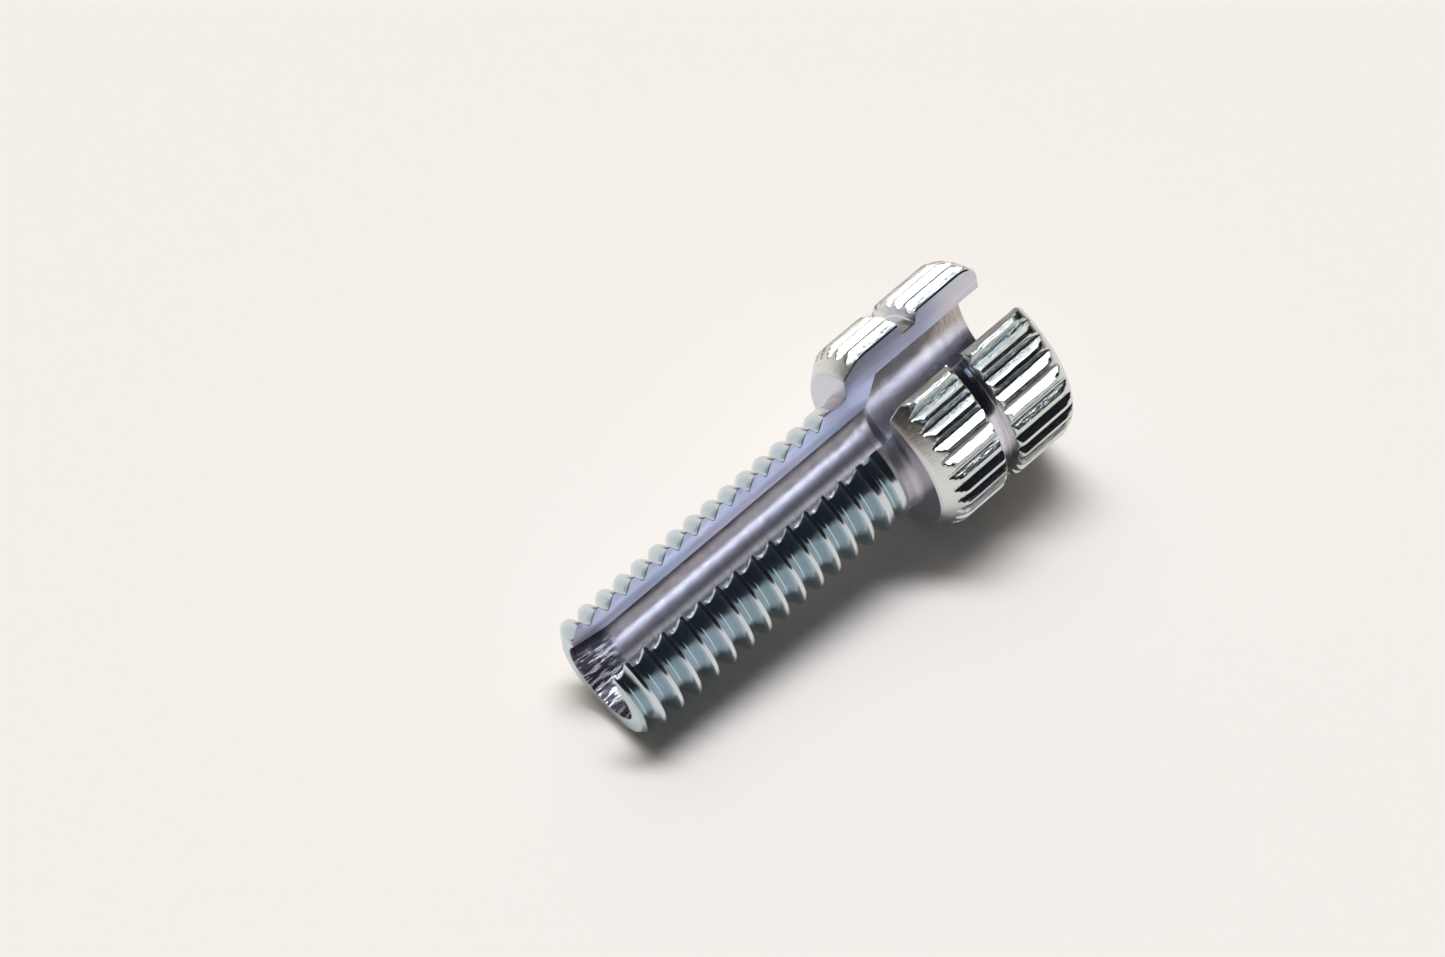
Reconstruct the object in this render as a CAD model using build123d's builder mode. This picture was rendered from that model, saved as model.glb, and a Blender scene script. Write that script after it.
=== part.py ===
from build123d import *
import math
import os

# Cable adjusting screw, turned from one steel bar: a threaded shank, a knurled head,
# and a stepped bore that a slot opens along its whole length, so that a cable can be laid in from the side.
# It is made upright, with its tip at the origin, and then laid down as it comes to rest.
# Lengths are in millimetres and angles in degrees.

# Shank and thread
thread_diameter = 6.0
thread_pitch = 1.0
thread_angle = 60
thread_depth = 0.66
first_crest = 0.67  # middle of the first crest, where the helix starts in the slot
shank_length = 15.85
tip_chamfer = 0.4
neck_length = 0.95  # plain, between the thread and the head
runout_length = 0.5  # over which the bottom of the thread rises to the neck
last_turn_share = 0.55  # of the depth, in the last turn, which the die's lead cut

# Knurled head
head_diameter = 9.6
head_length = 7.85
head_chamfer_length = 0.9
head_chamfer_height = 0.7
end_rounding = 1.1
rounding_chord_count = 3
groove_depth = 0.75
groove_width = 0.78
groove_place = 3.4  # from the head's underside
flute_count = 36
flute_angle = 90
flute_depth = 0.32

# Way for the cable
slot_width = 2.8
slot_turn = 2  # middle of the slot, from the middle of a flute
bore_diameter = 3.3
mouth_diameter = 3.86
mouth_length = 1.8
counterbore_diameter = 5.9
counterbore_depth = 6.15
drill_point_angle = 118

groove_turn_share = 0.95  # of a whole turn, so that both ends of the cut stay in the slot
overrun = 0.1  # by which a cut passes the face that it opens

# Radii and stations along the axis, from the tip
thread_radius = thread_diameter / 2
root_radius = thread_radius - thread_depth
head_radius = head_diameter / 2
underside_radius = head_radius - head_chamfer_height
groove_radius = head_radius - groove_depth
bore_radius = bore_diameter / 2
mouth_radius = mouth_diameter / 2
counterbore_radius = counterbore_diameter / 2
screw_length = shank_length + head_length
first_ring_start = shank_length + head_chamfer_length
first_ring_end = shank_length + groove_place
second_ring_start = first_ring_end + groove_width
neck_start = shank_length - neck_length
counterbore_start = screw_length - counterbore_depth
drill_point_length = (counterbore_radius - bore_radius) / math.tan(math.radians(drill_point_angle / 2))
bore_end = counterbore_start - drill_point_length

# Thread groove: turns of a V, one at every pitch, each of which starts and ends in the open slot
flank_slope = math.tan(math.radians(thread_angle / 2))
crest_width = thread_pitch - 2 * thread_depth * flank_slope
cut_radius = thread_radius + overrun
groove_start = first_crest - 1.5 * thread_pitch
turn_count = math.ceil((neck_start - groove_start) / thread_pitch)


def groove_turn(bottom_radius):
    half_width = (cut_radius - bottom_radius) * flank_slope
    with BuildPart() as turn_cut:
        with BuildLine() as helix:
            Helix(thread_pitch, thread_pitch * groove_turn_share, thread_radius)
        with BuildSketch(Plane.XZ):
            with BuildLine():
                Polyline(
                    (bottom_radius, 0),
                    (cut_radius, -half_width),
                    (cut_radius, half_width),
                    close=True,
                )
            make_face()
        sweep(path=helix.wires()[0], is_frenet=True)
    return turn_cut.part


groove_starts = [groove_start + thread_pitch * turn for turn in range(turn_count)]
with BuildPart() as thread_groove:
    with Locations([(0, 0, start) for start in groove_starts[:-1]]):
        add(groove_turn(root_radius))
    with Locations((0, 0, groove_starts[-1])):
        add(groove_turn(thread_radius - thread_depth * last_turn_share))
    # The last turn is shallower, and it runs out on a cone before the neck
    taper = runout_length / thread_depth
    with BuildSketch(Plane.XZ):
        with BuildLine():
            Polyline(
                (0, neck_start - thread_radius * taper),
                (head_radius, neck_start + (head_radius - thread_radius) * taper),
                (0, neck_start + (head_radius - thread_radius) * taper),
                close=True,
            )
        make_face()
    revolve(axis=Axis.Z, mode=Mode.SUBTRACT)

with BuildPart() as turned_screw:
    # Outline of the turned blank, with its end rounded in chords, which keep the ends of the flutes light
    rounded_end = []
    for chord in range(rounding_chord_count + 1):
        turn = math.pi / 2 * chord / rounding_chord_count
        rounded_end.append(
            (
                head_radius - end_rounding * (1 - math.cos(turn)),
                screw_length - end_rounding * (1 - math.sin(turn)),
            )
        )
    with BuildSketch(Plane.XZ):
        with BuildLine():
            Polyline(
                (0, 0),
                (thread_radius - tip_chamfer, 0),
                (thread_radius, tip_chamfer),
                (thread_radius, shank_length),
                (underside_radius, shank_length),
                (head_radius, first_ring_start),
                (head_radius, first_ring_end),
                (groove_radius, first_ring_end),
                (groove_radius, second_ring_start),
                (head_radius, second_ring_start),
                *rounded_end,
                (0, screw_length),
                close=True,
            )
        make_face()
    revolve(axis=Axis.Z)
    add(thread_groove.part, mode=Mode.SUBTRACT)

    # Straight knurl: V flutes along both rings, which run out on the chamfer and the rounding
    flute_cut_depth = flute_depth + overrun
    flute_half_width = flute_cut_depth * math.tan(math.radians(flute_angle / 2))
    with BuildSketch(Plane.XY.offset(shank_length)):
        with PolarLocations(head_radius - flute_depth, flute_count):
            Polygon(
                (0, 0),
                (flute_cut_depth, -flute_half_width),
                (flute_cut_depth, flute_half_width),
                align=None,
            )
    extrude(amount=head_length, mode=Mode.SUBTRACT)

    # Stepped bore: flared mouth at the tip, and a counterbore in the head with a drill-point bottom
    with BuildSketch(Plane.XZ):
        with BuildLine():
            Polyline(
                (0, -overrun),
                (mouth_radius, -overrun),
                (mouth_radius, 0),
                (bore_radius, mouth_length),
                (bore_radius, bore_end),
                (counterbore_radius, counterbore_start),
                (counterbore_radius, screw_length + overrun),
                (0, screw_length + overrun),
                close=True,
            )
        make_face()
    revolve(axis=Axis.Z, mode=Mode.SUBTRACT)

    # Slot from the bore out through one side, over the whole length
    with BuildSketch(Plane.XY.offset(-overrun)):
        Rectangle(
            head_radius + overrun,
            slot_width,
            rotation=slot_turn,
            align=(Align.MIN, Align.CENTER),
        )
    extrude(amount=screw_length + 2 * overrun, mode=Mode.SUBTRACT)

# At rest it lies on a crest of the thread near the tip and on the first ring's front edge,
# with a flute at the very bottom and the slot upwards.
bearing_crest = first_crest + thread_pitch / 2 - crest_width / 2
flute_edge_angle = flute_depth * math.tan(math.radians(flute_angle / 2)) / head_radius
land_height = head_radius * math.cos(flute_edge_angle)
lean = math.atan2(land_height - thread_radius, first_ring_start - bearing_crest)
tip_height = thread_radius * math.cos(lean) - bearing_crest * math.sin(lean)
tip_radius = thread_radius - tip_chamfer
tip_edge_angle = math.asin(slot_width / 2 / tip_radius) - math.radians(slot_turn)
near_reach = tip_radius * math.cos(tip_edge_angle) * math.sin(lean)
far_reach = screw_length * math.cos(lean) + (head_radius - end_rounding) * math.sin(lean)
rest = Plane(
    origin=((near_reach - far_reach) / 2, 0, tip_height),
    x_dir=(-math.sin(lean), 0, math.cos(lean)),
    z_dir=(math.cos(lean), 0, math.sin(lean)),
)

with BuildPart(rest) as adjusting_screw:
    add(turned_screw.part)
adjusting_screw.part.label = "adjusting_screw"

os.makedirs("parts", exist_ok=True)
export_step(adjusting_screw.part, "parts/adjusting_screw.step")
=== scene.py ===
import bpy
import bmesh
from math import atan2, cos, degrees, pi, radians, sin, tan
from mathutils import Matrix, Vector


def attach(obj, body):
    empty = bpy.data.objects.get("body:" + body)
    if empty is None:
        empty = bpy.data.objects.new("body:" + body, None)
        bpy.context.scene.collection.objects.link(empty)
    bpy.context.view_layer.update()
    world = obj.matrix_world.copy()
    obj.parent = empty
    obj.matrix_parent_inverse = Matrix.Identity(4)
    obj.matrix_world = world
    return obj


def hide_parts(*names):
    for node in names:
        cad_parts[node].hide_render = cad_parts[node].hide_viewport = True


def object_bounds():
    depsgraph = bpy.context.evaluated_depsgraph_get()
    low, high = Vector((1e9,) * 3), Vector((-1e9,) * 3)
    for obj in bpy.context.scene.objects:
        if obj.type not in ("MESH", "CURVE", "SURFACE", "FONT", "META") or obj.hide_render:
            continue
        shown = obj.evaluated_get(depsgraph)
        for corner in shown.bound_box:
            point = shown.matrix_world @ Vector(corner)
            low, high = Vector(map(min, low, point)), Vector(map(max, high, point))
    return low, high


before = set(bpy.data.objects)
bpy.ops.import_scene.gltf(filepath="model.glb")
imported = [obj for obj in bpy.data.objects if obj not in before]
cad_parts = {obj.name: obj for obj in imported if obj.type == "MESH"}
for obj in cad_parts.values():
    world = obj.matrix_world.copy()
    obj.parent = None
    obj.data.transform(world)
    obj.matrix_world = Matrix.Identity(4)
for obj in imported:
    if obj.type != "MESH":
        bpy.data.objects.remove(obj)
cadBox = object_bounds()
mm = 0.001
print("frame loaded,", len(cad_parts), "node, box", cadBox)


def pick(sockets, name):  # a socket by its place, or by its name among those in use
    if isinstance(name, int):
        return sockets[name]
    return next(socket for socket in sockets if socket.name == name and socket.enabled)


class Wire:  # a node's socket that can be written into sums
    def __init__(self, tree, socket):
        self.tree = tree
        self.socket = socket

    def node(self, kind, settings=None, sockets=None, out=0):  # any other node
        made = self.tree.nodes.new(kind)
        for name, value in (settings or {}).items():
            setattr(made, name, value)
        for name, value in (sockets or {}).items():
            target = pick(made.inputs, name)
            if isinstance(value, Wire):
                self.tree.links.new(value.socket, target)
            else:
                target.default_value = value
        return Wire(self.tree, pick(made.outputs, out))

    def sum(self, operation, *others):
        values = dict(enumerate((self,) + others))
        return self.node("ShaderNodeMath", {"operation": operation}, values)

    def __add__(self, other):
        return self.sum("ADD", other)

    def __sub__(self, other):
        return self.sum("SUBTRACT", other)

    def __mul__(self, other):
        return self.sum("MULTIPLY", other)

    def __truediv__(self, other):
        return self.sum("DIVIDE", other)

    def __lt__(self, other):
        return self.sum("LESS_THAN", other)

    def __gt__(self, other):
        return self.sum("GREATER_THAN", other)

    def __neg__(self):
        return self * -1.0

    def __abs__(self):
        return self.sum("ABSOLUTE")

    def __rsub__(self, other):
        return -self + other

    def __rtruediv__(self, other):
        return self.sum("POWER", -1.0) * other

    __radd__ = __add__
    __rmul__ = __mul__


def either(mask, yes, no):  # yes where the mask is 1
    return no + mask * (yes - no)


def ramp(value, low, high):  # 0 below low, 1 above high
    return value.node("ShaderNodeMapRange", {"interpolation_type": "SMOOTHSTEP"},
                      {"Value": value, "From Min": low, "From Max": high})


def scaled(vector, factor):
    wire = factor if isinstance(factor, Wire) else vector
    return wire.node("ShaderNodeVectorMath", {"operation": "SCALE"}, {0: vector, "Scale": factor})


def added(first, second):
    return second.node("ShaderNodeVectorMath", {"operation": "ADD"}, {0: first, 1: second})


# screw, in millimetres along its axis from the tip and out from the axis, with angles in degrees
screw = {
    "threadRadius": 3.0, "pitch": 1.0, "flankAngle": 30.0, "crestWidth": 0.17, "firstCrest": 0.67,
    "threadDepth": 0.62, "sharpDepth": 0.66,  # rounded here, and sharp in the solid
    "rootRounding": 0.16, "crestRounding": 0.05, "shankLength": 15.85, "tipChamfer": 0.4,
    "neckStart": 14.9, "runout": 0.5, "lastTurn": 14, "lastTurnShare": 0.55,
    "neckWaist": 0.1, "waistStart": (14.9, 15.15), "waistEnd": (15.45, 15.8),
    "headRadius": 4.8, "headLength": 7.85, "chamferLength": 0.9, "chamferHeight": 0.7, "endRounding": 1.1,
    "grooveRadius": 4.05, "grooveStart": 19.25, "grooveWidth": 0.78, "grooveCorner": 0.05,
    "ringRounding": 0.26, "cornerRounding": 0.9,
    "fluteCount": 36, "fluteDepth": 0.32, "fluteEdge": 0.01, "fluteRounding": 0.12,  # the root's, an angle
    "slotWidth": 2.8, "slotTurn": 2.0, "slotEdge": 0.035,
    "boreRadius": 1.65, "mouthRadius": 1.93, "mouthLength": 1.8, "counterboreRadius": 2.95,
    "counterboreDepth": 6.15, "drillPoint": 118.0, "edgeBreak": 0.04,
    # rows of half a pitch, from the middle of a crest to the middle of the root
    "threadRows": (0.0, 0.06, 0.09, 0.13, 0.2, 0.25, 0.3, 0.37, 0.42, 0.46, 0.5),
    "bendSteps": 6, "ringSteps": 5, "endSteps": 14, "columnsPerFlute": 9, "firstColumn": 2.5,
    "edgePasses": 4, "mergeDistance": 0.0008, "sharpAngle": 26.0,
}
flankSlope = tan(radians(screw["flankAngle"]))
screwLength = screw["shankLength"] + screw["headLength"]
tipRadius = screw["threadRadius"] - screw["tipChamfer"]
rowNames = ("station", "radius", "along", "out", "thread", "knurl", "pair")
socketKinds = {"float": "NodeSocketFloat", "int": "NodeSocketInt", "Vector": "NodeSocketVector",
               "Material": "NodeSocketMaterial"}


def restingFrame(s):  # how the screw lies, as in the part: on a crest near the tip and on the first ring
    bearing = s["firstCrest"] + s["sharpDepth"] * flankSlope
    land = s["headRadius"] * cos(s["fluteDepth"] / s["headRadius"])
    lean = atan2(land - s["threadRadius"], s["shankLength"] + s["chamferLength"] - bearing)
    axis = Vector((cos(lean), 0, sin(lean)))
    upward = Vector((-sin(lean), 0, cos(lean)))
    height = s["threadRadius"] * cos(lean) - bearing * sin(lean)
    reach = screwLength * cos(lean) + (s["headRadius"] - s["endRounding"]) * sin(lean)
    tip = Vector((cadBox[1][0] / mm - reach, 0, height))
    return tip, axis, upward, axis.cross(upward)


tip, axis, upward, sideways = restingFrame(screw)
print("screw lies with its tip at", tip, "axis", axis)


def profileRows(s):  # closed outline of the section, with the values of rowNames in each row
    rows = []
    forward, backward, inward, outward = (1, 0), (-1, 0), (0, -1), (0, 1)  # ways into the metal
    chamferWay, drillPointWay = (0.6, -0.8), (-0.5, 0.86)
    cornerBack, cornerForth = (-0.7, -0.7), (0.7, -0.7)

    def row(station, radius, way, thread=0.0, knurl=0.0, pair=0.0):  # a pair: every other column
        rows.append((station, radius, *way, thread, knurl, pair))

    def arc(station, radius, size, start, end, steps, first=0):  # a rounding about its centre
        for step in range(first, steps + 1):
            turn = radians(start + (end - start) * step / steps)
            row(station + size * cos(turn), radius + size * sin(turn), (-cos(turn), -sin(turn)), knurl=1.0)

    pitch, shank, head = s["pitch"], s["shankLength"], s["headRadius"]
    row(0.0, s["mouthRadius"] + s["edgeBreak"], forward, pair=1.0)
    row(-pitch, tipRadius, inward, thread=1.0, pair=1.0)
    phases = s["threadRows"] + tuple(1 - phase for phase in s["threadRows"][-2:0:-1])
    for turn in range(-2, int(shank / pitch) + 2):
        for phase in phases:
            station = s["firstCrest"] + (turn + phase) * pitch
            if -pitch < station < shank:
                row(station, s["threadRadius"], inward, thread=1.0, pair=1.0)
    row(shank, s["threadRadius"], inward, thread=1.0, pair=1.0)

    underside = head - s["chamferHeight"]
    slope = atan2(s["chamferHeight"], s["chamferLength"])
    bend = s["cornerRounding"] * tan(slope / 2)  # from the sharp corner to either end of its rounding
    plainShare = 1 - bend * cos(slope) / s["chamferLength"]
    row(shank, underside - s["edgeBreak"], forward)
    for step in range(1, s["bendSteps"] + 1):
        share = plainShare * step / s["bendSteps"]
        row(shank + s["chamferLength"] * share, underside + s["chamferHeight"] * share, chamferWay, knurl=1.0)
    arc(shank + s["chamferLength"] + bend, head - s["cornerRounding"], s["cornerRounding"],
        90 + degrees(slope), 90, s["bendSteps"], first=1)

    rounding, corner = s["ringRounding"], s["grooveCorner"]
    grooveStart, grooveEnd = s["grooveStart"], s["grooveStart"] + s["grooveWidth"]
    arc(grooveStart - rounding, head - rounding, rounding, 90, 0, s["ringSteps"])
    row(grooveStart, s["grooveRadius"] + corner, cornerBack)
    row(grooveStart + corner, s["grooveRadius"], inward)
    row(grooveEnd - corner, s["grooveRadius"], inward)
    row(grooveEnd, s["grooveRadius"] + corner, cornerForth)
    arc(grooveEnd + rounding, head - rounding, rounding, 180, 90, s["ringSteps"])
    arc(screwLength - s["endRounding"], head - s["endRounding"], s["endRounding"], 90, 0, s["endSteps"])

    seat = screwLength - s["counterboreDepth"]
    boreEnd = seat - (s["counterboreRadius"] - s["boreRadius"]) / tan(radians(s["drillPoint"] / 2))
    row(screwLength, s["counterboreRadius"] + s["edgeBreak"], backward, pair=1.0)
    row(screwLength - s["edgeBreak"], s["counterboreRadius"], outward, pair=1.0)
    row(seat, s["counterboreRadius"], drillPointWay, pair=1.0)
    row(boreEnd, s["boreRadius"], drillPointWay, pair=1.0)
    row(s["mouthLength"], s["boreRadius"], outward, pair=1.0)
    row(s["edgeBreak"], s["mouthRadius"], outward, pair=1.0)
    rows.append(rows[0])
    return rows


def screwTree(s, values):  # bends a grid of rows and columns into the screw
    tree = bpy.data.node_groups.new("turnedScrew", "GeometryNodeTree")
    tree.interface.new_socket("Section", in_out="INPUT", socket_type="NodeSocketGeometry")
    for name, value in values.items():
        tree.interface.new_socket(name, in_out="INPUT", socket_type=socketKinds[type(value).__name__])
    tree.interface.new_socket("Screw", in_out="OUTPUT", socket_type="NodeSocketGeometry")
    given = tree.nodes.new("NodeGroupInput")
    size = {socket.name: Wire(tree, socket) for socket in given.outputs if socket.name}
    start = size["Section"]

    grid = start.node("GeometryNodeMeshGrid",
                      sockets={"Vertices X": size["Rows"], "Vertices Y": size["Columns"]})
    index = start.node("GeometryNodeInputIndex")
    rowIndex = ((index + 0.5) / size["Columns"]).sum("FLOOR")
    column = (index - rowIndex * size["Columns"]).sum("ROUND")

    def fromRow(name):
        value = start.node("GeometryNodeInputNamedAttribute", {"data_type": "FLOAT"},
                           {"Name": name}, "Attribute")
        return start.node("GeometryNodeSampleIndex", {"data_type": "FLOAT", "domain": "POINT"},
                          {"Geometry": start, "Value": value, "Index": rowIndex})

    rowStation, rowRadius, along, out, thread, knurl, pair = (fromRow(name) for name in rowNames)
    step = size["Flute pitch"] / float(s["columnsPerFlute"])
    column = column - pair * (column - (column / 2.0).sum("FLOOR") * 2.0)  # smooth rows use every other one
    angle = (column + s["firstColumn"]) * step
    slotTurn = size["Slot turn"]
    farHalf = angle > slotTurn + pi  # the half that ends on the slot's other wall
    fromSlot = either(farHalf, 2 * pi + slotTurn - angle, angle - slotTurn)

    def surface(fromSlot):  # station, angle and radius of the surface at an angle from the slot's middle
        angle = either(farHalf, 2 * pi + slotTurn - fromSlot, fromSlot + slotTurn)
        station = rowStation + thread * angle / (2 * pi) * size["Pitch"]  # thread rows follow the helix
        clamped = station.sum("MAXIMUM", 0.0).sum("MINIMUM", size["Shank length"])
        station = either(thread, clamped, station)
        turns = (station - size["First crest"]) / size["Pitch"] - angle / (2 * pi) + 0.5
        fromCrest = abs(turns - turns.sum("FLOOR") - 0.5) * size["Pitch"]
        flank = size["Thread radius"] - (fromCrest - size["Crest width"] / 2.0) / flankSlope
        root = size["Thread radius"] - size["Thread depth"]
        groove = flank.sum("SMOOTH_MAX", root, s["rootRounding"])
        groove = groove + (turns.sum("ROUND") > size["Last turn"] - 0.5) * size["Last turn lift"]
        groove = groove.sum("MAXIMUM", root + (station - size["Run-out start"]) * size["Run-out slope"])
        groove = groove.sum("SMOOTH_MIN", size["Thread radius"], s["crestRounding"])
        waist = ramp(station, *s["waistStart"]) * (1 - ramp(station, *s["waistEnd"])) * size["Neck waist"]
        groove = groove.sum("MINIMUM", size["Thread radius"] - waist)
        groove = groove.sum("MINIMUM", size["Tip radius"] + station)
        radius = either(thread, groove, rowRadius)
        flutes = angle / size["Flute pitch"] + 0.5
        fromFlute = (flutes - flutes.sum("FLOOR") - 0.5) * size["Flute pitch"]
        fromFlute = (fromFlute * fromFlute + radians(s["fluteRounding"]) ** 2).sum("SQRT")
        flute = size["Flute floor"] / (fromFlute.sum("COSINE") - fromFlute.sum("SINE"))
        return station, angle, either(knurl, radius.sum("SMOOTH_MIN", flute, s["fluteEdge"]), radius)

    halfWidth = size["Slot half width"]
    edge = size["Slot edge"] * (1 + knurl)  # wider on the knurled rings
    edgeTurn = ((halfWidth + edge) / rowRadius).sum("ARCSINE")
    for again in range(s["edgePasses"]):
        edgeStation, edgeAngle, edgeRadius = surface(edgeTurn)
        edgeTurn = ((halfWidth + edge) / edgeRadius).sum("ARCSINE")
    onWall = fromSlot < edgeTurn - step * (1.0 + pair)
    station, turned, radius = surface(fromSlot.sum("MAXIMUM", edgeTurn))
    wallRadius = edgeRadius + edge * out
    wallTurn = (halfWidth / wallRadius).sum("ARCSINE")
    wallAngle = either(farHalf, 2 * pi + slotTurn - wallTurn, wallTurn + slotTurn)
    station = either(onWall, edgeStation + edge * along, station)
    turned = either(onWall, wallAngle, turned)
    radius = either(onWall, wallRadius, radius)

    place = size["Tip"]
    for vector, factor in ((size["Axis"], station), (size["Upward"], radius * turned.sum("COSINE")),
                           (size["Sideways"], radius * turned.sum("SINE"))):
        place = added(place, scaled(vector, factor))
    shape = start.node("GeometryNodeSetPosition", sockets={"Geometry": grid, "Position": scaled(place, mm)})
    stored = {"station": station, "girth": turned, "reach": radius, "inner": out > 0.0, "knurled": knurl}
    for name, value in stored.items():
        shape = start.node("GeometryNodeStoreNamedAttribute", {"data_type": "FLOAT", "domain": "POINT"},
                           {"Geometry": shape, "Name": name, "Value": value})
    shape = start.node("GeometryNodeMergeByDistance",
                       sockets={"Geometry": shape, "Distance": s["mergeDistance"] * mm})
    shape = start.node("GeometryNodeSetShadeSmooth", sockets={"Geometry": shape, "Shade Smooth": True})
    shape = start.node("GeometryNodeRealizeInstances", sockets={"Geometry": shape})
    shape = start.node("GeometryNodeSetMaterial", sockets={"Geometry": shape, "Material": size["Finish"]})
    result = tree.nodes.new("NodeGroupOutput")
    tree.links.new(shape.socket, result.inputs["Screw"])
    return tree


def turnedMesh(s, finish):  # the screw's surface, still open at the slot's two sides
    rows = profileRows(s)
    section = bpy.data.meshes.new("section")
    section.from_pydata([(row[0] * mm, row[1] * mm, 0) for row in rows], [], [])
    for place, name in enumerate(rowNames):
        attribute = section.attributes.new(name, "FLOAT", "POINT")
        attribute.data.foreach_set("value", [float(row[place]) for row in rows])
    draft = bpy.data.objects.new("draft", section)
    bpy.context.collection.objects.link(draft)
    values = {
        "Thread radius": s["threadRadius"], "Pitch": s["pitch"], "Crest width": s["crestWidth"],
        "Thread depth": s["threadDepth"], "First crest": s["firstCrest"], "Shank length": s["shankLength"],
        "Tip radius": tipRadius, "Run-out start": s["neckStart"] - s["runout"],
        "Run-out slope": s["threadDepth"] / s["runout"], "Last turn": float(s["lastTurn"]),
        "Last turn lift": s["threadDepth"] * (1 - s["lastTurnShare"]), "Neck waist": s["neckWaist"],
        "Flute floor": s["headRadius"] - s["fluteDepth"], "Flute pitch": 2 * pi / s["fluteCount"],
        "Slot half width": s["slotWidth"] / 2, "Slot turn": radians(s["slotTurn"]),
        "Slot edge": s["slotEdge"], "Tip": tip, "Axis": axis, "Upward": upward, "Sideways": sideways,
        "Rows": len(rows), "Columns": s["fluteCount"] * s["columnsPerFlute"], "Finish": finish,
    }
    modifier = draft.modifiers.new("turning", "NODES")
    modifier.node_group = screwTree(s, values)
    for item in modifier.node_group.interface.items_tree:
        if item.name in values:
            value = values[item.name]
            modifier[item.identifier] = value[:] if isinstance(value, Vector) else value
    evaluated = draft.evaluated_get(bpy.context.evaluated_depsgraph_get())
    mesh = bpy.data.meshes.new_from_object(evaluated)
    bpy.data.objects.remove(draft)
    print("screw turned from", len(rows), "rows")
    return mesh


def makeScrew(s, finish):
    mesh = turnedMesh(s, finish)
    shell = bmesh.new()
    shell.from_mesh(mesh)
    onWall = shell.faces.layers.float.new("wall")
    rims = [edge for edge in shell.edges if edge.is_boundary]
    for face in bmesh.ops.edgeloop_fill(shell, edges=rims)["faces"]:  # the slot's two sides
        face[onWall] = 1.0
        face.smooth = False
    bmesh.ops.recalc_face_normals(shell, faces=shell.faces)
    for face in shell.faces:
        face.material_index = 0
    openEdges = sum(1 for edge in shell.edges if not edge.is_manifold)
    print("screw has", len(shell.faces), "faces,", len(rims), "rim edges and", openEdges, "open edges")
    shell.to_mesh(mesh)
    shell.free()
    mesh.materials.clear()
    mesh.materials.append(finish)
    mesh.set_sharp_from_angle(angle=radians(s["sharpAngle"]))
    piece = bpy.data.objects.new("adjustingScrew", mesh)
    bpy.context.collection.objects.link(piece)
    return piece


# zinc plate: colours by place, some of them painted shade, painted highlights and painted glints, and the
# marks that the tools left in the steel under it
plate = {
    # the thread's root colour, darker and bluer than the crests', is painted shade
    "thread": (0.66, 0.72, 0.76, 1), "threadRootShade": (0.47, 0.575, 0.63, 1), "neck": (0.57, 0.55, 0.60, 1),
    # the underside's colour, darker and bluer than the head's, is painted shade under the head
    "underside": (0.52, 0.56, 0.65, 1), "head": (0.71, 0.745, 0.725, 1), "groove": (0.76, 0.72, 0.78, 1),
    # the near-white band in the bore is a painted highlight
    "nearBore": (0.76, 0.76, 0.80, 1), "bore": (0.56, 0.58, 0.69, 1), "paintedBoreHighlight": (0.95, 0.94, 0.92, 1),
    # the brown on the bore's far side is painted shade
    # the mouth's near-black colour is painted shade
    "farBoreShade": (0.61, 0.53, 0.44, 1), "boreLine": (0.36, 0.36, 0.42, 1), "mouth": (0.09, 0.08, 0.11, 1),
    # the chatter colour paints glints on the chatter strokes, which are also real marks in the bump
    "chatterAndGlint": (0.9, 0.9, 0.95, 1), "slot": (0.51, 0.58, 0.68, 1), "slotStreak": (0.68, 0.60, 0.68, 1),
    "bluish": (0.60, 0.68, 0.82, 1),
    # where they begin and end: station along the axis, reach out from it, and girth round it in radians
    "rootReach": (2.72, 2.96), "neckStation": (14.85, 15.0), "headStation": (15.7, 16.1),
    "undersideStart": (15.75, 15.84), "undersideEnd": (15.86, 15.95), "undersideReach": 3.02,
    "grooveReach": (4.1, 4.4), "grooveStation": 21.0, "landReach": (4.0, 4.35),
    "nearGirth": (2.55, 2.95), "farGirth": (4.05, 4.6), "stripReach": (1.7, 2.0),
    "stripStart": (3.45, 3.55), "stripEnd": (3.72, 3.92),
    "mouthStation": (1.5, 2.1), "glintEnd": (4.35, 4.75),
    # lines that the tools left: how many to a millimetre, or to a radian of girth
    "lines": {
        "turning": {"counts": {"station": 9.0, "girth": 0.5}, "detail": 5.0, "rough": 0.7},
        "flank": {"counts": {"reach": 26.0, "girth": 0.4}, "detail": 3.0, "rough": 0.55},
        "knurl": {"counts": {"girth": 130.0, "station": 1.5}, "detail": 4.0, "rough": 0.55},
        "face": {"counts": {"reach": 11.0, "girth": 0.4}, "detail": 4.0, "rough": 0.55},
        "saw": {"counts": {"station": 0.7, "reach": 9.0}, "detail": 4.0, "rough": 0.55},
        "streak": {"counts": {"station": 0.3, "reach": 3.6}, "detail": 4.0, "rough": 0.55},
        "bore": {"counts": {"station": 6.0, "girth": 0.3}, "detail": 2.0, "rough": 0.55},
    },
    "strokes": {"station": 1.1, "lead": 1.2, "girth": 11.0, "detail": 3.0, "rough": 0.6},  # in the mouth
    "lineRange": (0.4, 0.62), "strokeRange": (0.5, 0.57), "cloudRange": (0.45, 0.75),
    "boreLineShare": 0.3, "bluishShare": 0.5, "boreBluishShare": 0.1,
    # grains to a metre, detail and roughness
    "grains": {"cloud": (260.0, 3.0, 0.55), "grain": (3200.0, 4.0, 0.55), "wave": (1400.0, 1.0, 0.55)},
    "markDepth": 0.006,  # in millimetres, and the marks as shares of it
    "marks": {"bore": 8.0, "flank": 0.9, "wave": 3.0, "knurl": 1.9, "face": 1.4, "saw": 0.9, "strokes": 9.0,
              "landGrain": 1.1, "grain": 0.25},
    "roughness": 0.1,
    "rougher": {"cloud": 0.06, "wall": 0.16, "inner": 0.06, "neck": 0.22, "threaded": 0.05, "lands": 0.07},
}


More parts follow.
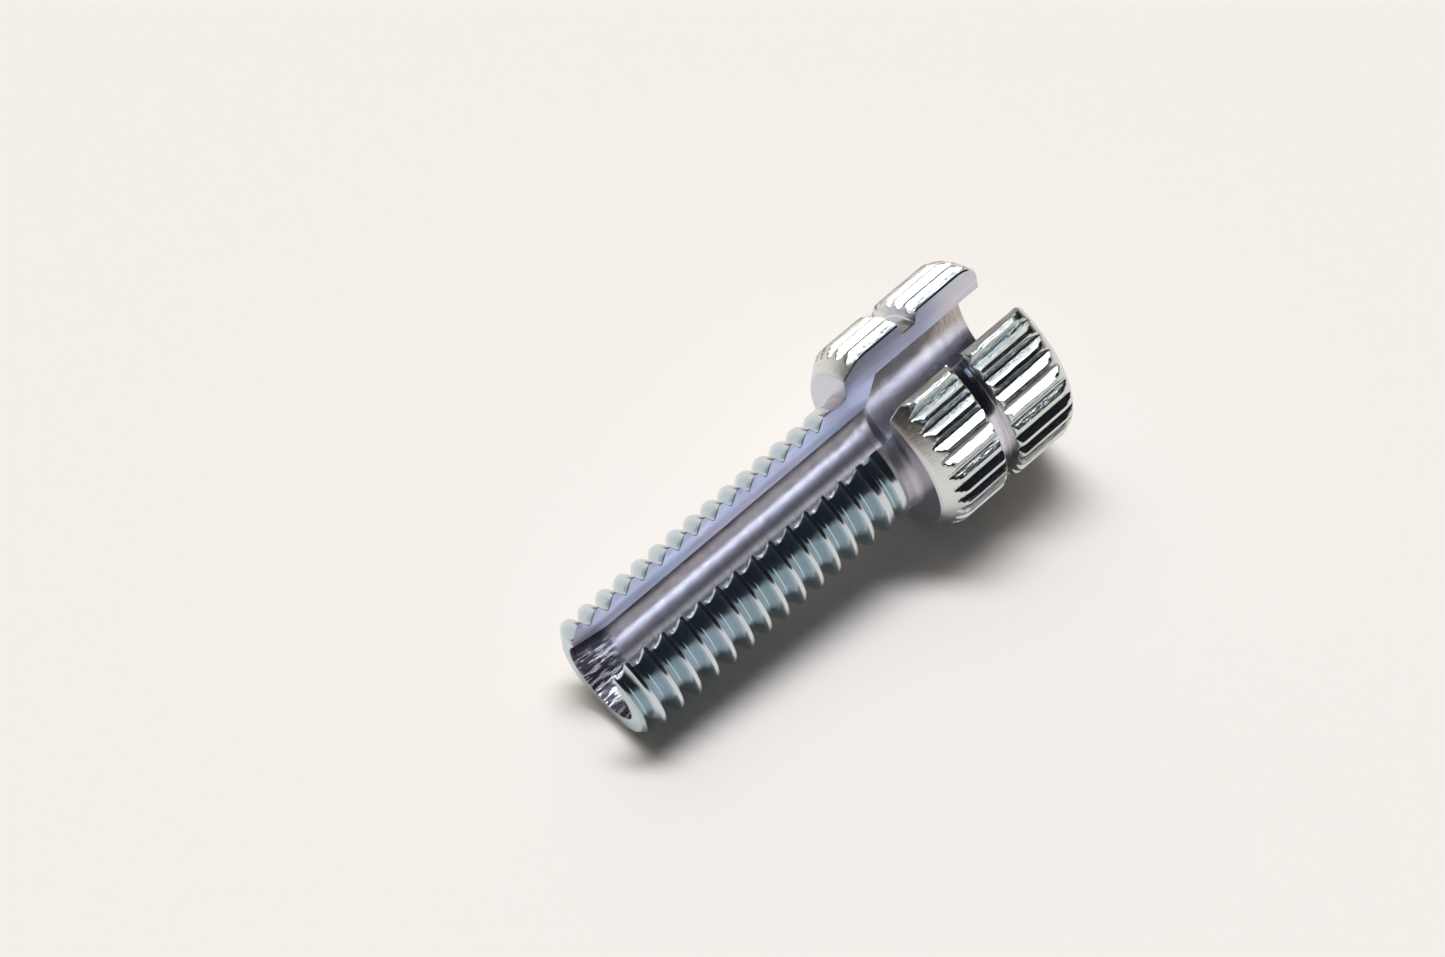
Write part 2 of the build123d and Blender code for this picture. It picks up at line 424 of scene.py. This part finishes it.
def zincPlate(c):
    material = bpy.data.materials.new("zincPlate")
    material.use_nodes = True
    tree = material.node_tree
    shader = tree.nodes["Principled BSDF"]
    start = Wire(tree, shader.outputs[0])
    attribute = {name: start.node("ShaderNodeAttribute", {"attribute_name": name}, out="Fac")
                 for name in ("station", "girth", "reach", "inner", "knurled", "wall")}
    station, girth, reach, inner, knurled, wall = attribute.values()
    place = start.node("ShaderNodeTexCoord", out="Object")

    def noise(vector, scale, detail, rough):
        return start.node("ShaderNodeTexNoise", {"noise_dimensions": "3D"},
                          {"Vector": vector, "Scale": scale, "Detail": detail, "Roughness": rough})

    def drawnOut(first, second, mark):  # noise over two measures, which draw it out into lines
        vector = start.node("ShaderNodeCombineXYZ", sockets={0: first, 1: second})
        return noise(vector, 1.0, mark["detail"], mark["rough"])

    def lines(name):
        mark = c["lines"][name]
        first, second = (attribute[measure] * count for measure, count in mark["counts"].items())
        return drawnOut(first, second, mark)

    def blend(mask, first, second):
        return start.node("ShaderNodeMix", {"data_type": "RGBA"},
                          {"Factor": mask, "A": first, "B": second}, "Result")

    outside = (1 - inner) * (1 - wall)
    inside = inner * (1 - wall)
    head = ramp(station, *c["headStation"]) * outside
    threaded = (1 - head) * outside
    neck = ramp(station, *c["neckStation"]) * threaded
    # painted shade under the head: the ring beneath it gets the darker underside colour
    underside = ramp(station, *c["undersideStart"]) * (1 - ramp(station, *c["undersideEnd"])) * outside
    underside = underside * (reach > c["undersideReach"])
    groove = head * (1 - knurled) * (1 - ramp(reach, *c["grooveReach"])) * (station < c["grooveStation"])
    lands = knurled * head * ramp(reach, *c["landReach"])
    # painted highlight: a narrow near-white band round part of the bore
    strip = ramp(girth, *c["stripStart"]) * (1 - ramp(girth, *c["stripEnd"]))
    strip = strip * (1 - ramp(reach, *c["stripReach"]))
    # the mouth's near-black colour, laid on below, is painted shade
    mouth = inside * (1 - ramp(station, *c["mouthStation"]))
    cloud, grain, wave = (noise(place, *c["grains"][name]) for name in ("cloud", "grain", "wave"))
    chatterAndGlint = c["strokes"]  # of the countersink
    slanted = station * chatterAndGlint["station"] + girth * chatterAndGlint["lead"]
    strokes = drawnOut(slanted, girth * chatterAndGlint["girth"], chatterAndGlint)
    # painted glints: near-white strokes on one side of the mouth, over the real chatter marks
    paintedGlints = ramp(strokes, *c["strokeRange"]) * (1 - ramp(girth, *c["glintEnd"]))

    colour = blend(ramp(reach, *c["rootReach"]), c["threadRootShade"], c["thread"])  # painted shade: the thread's roots darker and bluer than its crests
    for mask, name in ((neck, "neck"), (head, "head"), (underside, "underside"), (groove, "groove")):
        colour = blend(mask, colour, c[name])
    bore = blend(strip, c["bore"], c["paintedBoreHighlight"])
    bore = blend(ramp(girth, *c["nearGirth"]), c["nearBore"], bore)
    # painted shade: brown on the bore's far side, next to the slot's wall
    bore = blend(ramp(girth, *c["farGirth"]), bore, c["farBoreShade"])
    bore = blend(ramp(lines("bore"), *c["lineRange"]) * c["boreLineShare"], bore, c["boreLine"])
    colour = blend(inside, colour, bore)
    colour = blend(mouth, colour, blend(paintedGlints, c["mouth"], c["chatterAndGlint"]))
    colour = blend(wall, colour, blend(ramp(lines("streak"), *c["lineRange"]), c["slot"], c["slotStreak"]))
    bluish = ramp(cloud, *c["cloudRange"]) * either(inner, c["boreBluishShare"], c["bluishShare"])
    colour = blend(bluish, colour, c["bluish"])
    tree.links.new(colour.socket, shader.inputs["Base Color"])

    mark = c["marks"]
    height = lines("turning") * (inner * mark["bore"] + (1 - knurled) * head) * (1 - wall)
    height = height + (lines("flank") * mark["flank"] + wave * mark["wave"]) * threaded
    height = height + lines("knurl") * lands * mark["knurl"] + lines("face") * (head - lands) * mark["face"]
    height = height + lines("saw") * wall * mark["saw"] + strokes * mouth * mark["strokes"]
    height = height + grain * (lands * mark["landGrain"] + mark["grain"])
    bump = start.node("ShaderNodeBump",
                      sockets={"Strength": 1.0, "Distance": c["markDepth"] * mm, "Height": height})
    tree.links.new(bump.socket, shader.inputs["Normal"])

    masks = {"cloud": cloud, "wall": wall, "inner": inner, "neck": neck, "threaded": threaded, "lands": lands}
    rough = c["roughness"]
    for name, more in c["rougher"].items():
        rough = rough + masks[name] * more
    tree.links.new(rough.socket, shader.inputs["Roughness"])
    shader.inputs["Metallic"].default_value = 1.0
    print("zinc plate mixed")
    return material


zinc = zincPlate(plate)
adjustingScrew = makeScrew(screw, zinc)
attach(adjustingScrew, "root")
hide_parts("adjusting_screw")


# table top, in metres
table = {"size": 1.2, "colour": (0.93, 0.845, 0.765, 1), "roughness": 0.8}


def makeTable(t):
    half = t["size"] / 2
    mesh = bpy.data.meshes.new("tableTop")
    corners = [(-half, -half, 0), (half, -half, 0), (half, half, 0), (-half, half, 0)]
    mesh.from_pydata(corners, [], [(0, 1, 2, 3)])
    material = bpy.data.materials.new("paleTable")
    material.use_nodes = True
    shader = material.node_tree.nodes["Principled BSDF"]
    shader.inputs["Base Color"].default_value = t["colour"]
    shader.inputs["Roughness"].default_value = t["roughness"]
    mesh.materials.append(material)
    top = bpy.data.objects.new("tableTop", mesh)
    bpy.context.collection.objects.link(top)
    print("table top made")


makeTable(table)

# room: a strip lamp almost overhead with a wide glow beyond it, a small window behind the camera,
# and a pale wall at the far side and at the left
# the ovals of light lie on a ceiling at height 1: place and half sizes across and in depth, turn in degrees
room = {
    "strip": {"place": (0.106, 0.165), "half": (0.109, 0.369), "turn": 40.0, "light": (19.1, 20.7, 22.9)},
    "window": {"place": (-0.5, -0.66), "half": (0.07, 0.05), "turn": 0.0, "light": (6.0, 8.5, 11.0)},
    "glow": {"place": (0.17, 0.54), "half": (0.79, 0.61), "turn": -5.0, "light": (0.96, 0.87, 0.75)},
    "ovalEdge": (0.5, 1.5), "lowest": 0.05,  # how softly an oval ends, and the height below which none shines
    # walls: the way to the middle, where the light begins and is full, and its share from the top up
    "far": {"way": (0.42, 0.91), "edge": (0.45, 0.95), "top": 0.75, "share": 1.0,
            "light": (0.34, 0.31, 0.26)},
    "left": {"way": (-1.0, 0.0), "edge": (0.3, 0.95), "top": 0.38, "share": 0.06,
             "light": (0.4, 0.32, 0.25)},
    "dark": (0.008, 0.009, 0.014),
}


def lightRoom(r):
    world = bpy.data.worlds.new("room")
    world.use_nodes = True
    tree = world.node_tree
    background = tree.nodes["Background"]
    start = Wire(tree, background.outputs[0])
    way = start.node("ShaderNodeTexCoord", out="Generated")
    parts = start.node("ShaderNodeSeparateXYZ", sockets={0: way})
    across, depth, height = (Wire(tree, socket) for socket in parts.socket.node.outputs)
    above = height.sum("MAXIMUM", r["lowest"])

    def oval(o):
        turn, (placeU, placeV), (halfU, halfV) = radians(o["turn"]), o["place"], o["half"]
        u, v = across / above - placeU, depth / above - placeV
        first = (u * cos(turn) + v * sin(turn)) / halfU
        second = (v * cos(turn) - u * sin(turn)) / halfV
        fromMiddle = (first * first + second * second).sum("SQRT")
        return (1 - ramp(fromMiddle, *r["ovalEdge"])) * (height > r["lowest"])

    def wall(w):  # brightest at the horizon
        x, y = w["way"]
        lower = 1 - ramp(height, 0.0, w["top"]) * (1 - w["share"])
        return ramp(across * x + depth * y, *w["edge"]) * lower

    light = r["dark"]
    for name, level in (("strip", oval), ("glow", oval), ("window", oval), ("far", wall), ("left", wall)):
        light = added(light, scaled(r[name]["light"], level(r[name])))
    tree.links.new(light.socket, background.inputs["Color"])
    bpy.context.scene.world = world
    bpy.context.scene.view_settings.view_transform = "Standard"
    print("room lit")


lightRoom(room)

# camera, in millimetres and degrees, azimuth from the front
viewpoint = {"aim": (-1.635, 3.738, 4.2), "distance": 148.88, "azimuth": -35.89, "elevation": 51.92,
             "roll": 6.79, "lens": 86.04, "sensor": 36, "clipStart": 10}


def setCamera(v):
    azimuth, elevation, roll = (radians(v[name]) for name in ("azimuth", "elevation", "roll"))
    back = Vector((sin(azimuth) * cos(elevation), -cos(azimuth) * cos(elevation), sin(elevation)))
    level = Vector((cos(azimuth), sin(azimuth), 0))
    above = back.cross(level)
    right = level * cos(roll) - above * sin(roll)
    top = above * cos(roll) + level * sin(roll)
    data = bpy.data.cameras.new("camera")
    data.sensor_width = v["sensor"]
    data.lens = v["lens"]
    data.clip_start = v["clipStart"] * mm
    camera = bpy.data.objects.new("camera", data)
    turn = Matrix((right, top, back)).transposed().to_4x4()
    camera.matrix_world = Matrix.Translation((Vector(v["aim"]) + back * v["distance"]) * mm) @ turn
    bpy.context.collection.objects.link(camera)
    bpy.context.scene.camera = camera
    print("camera set")


setCamera(viewpoint)
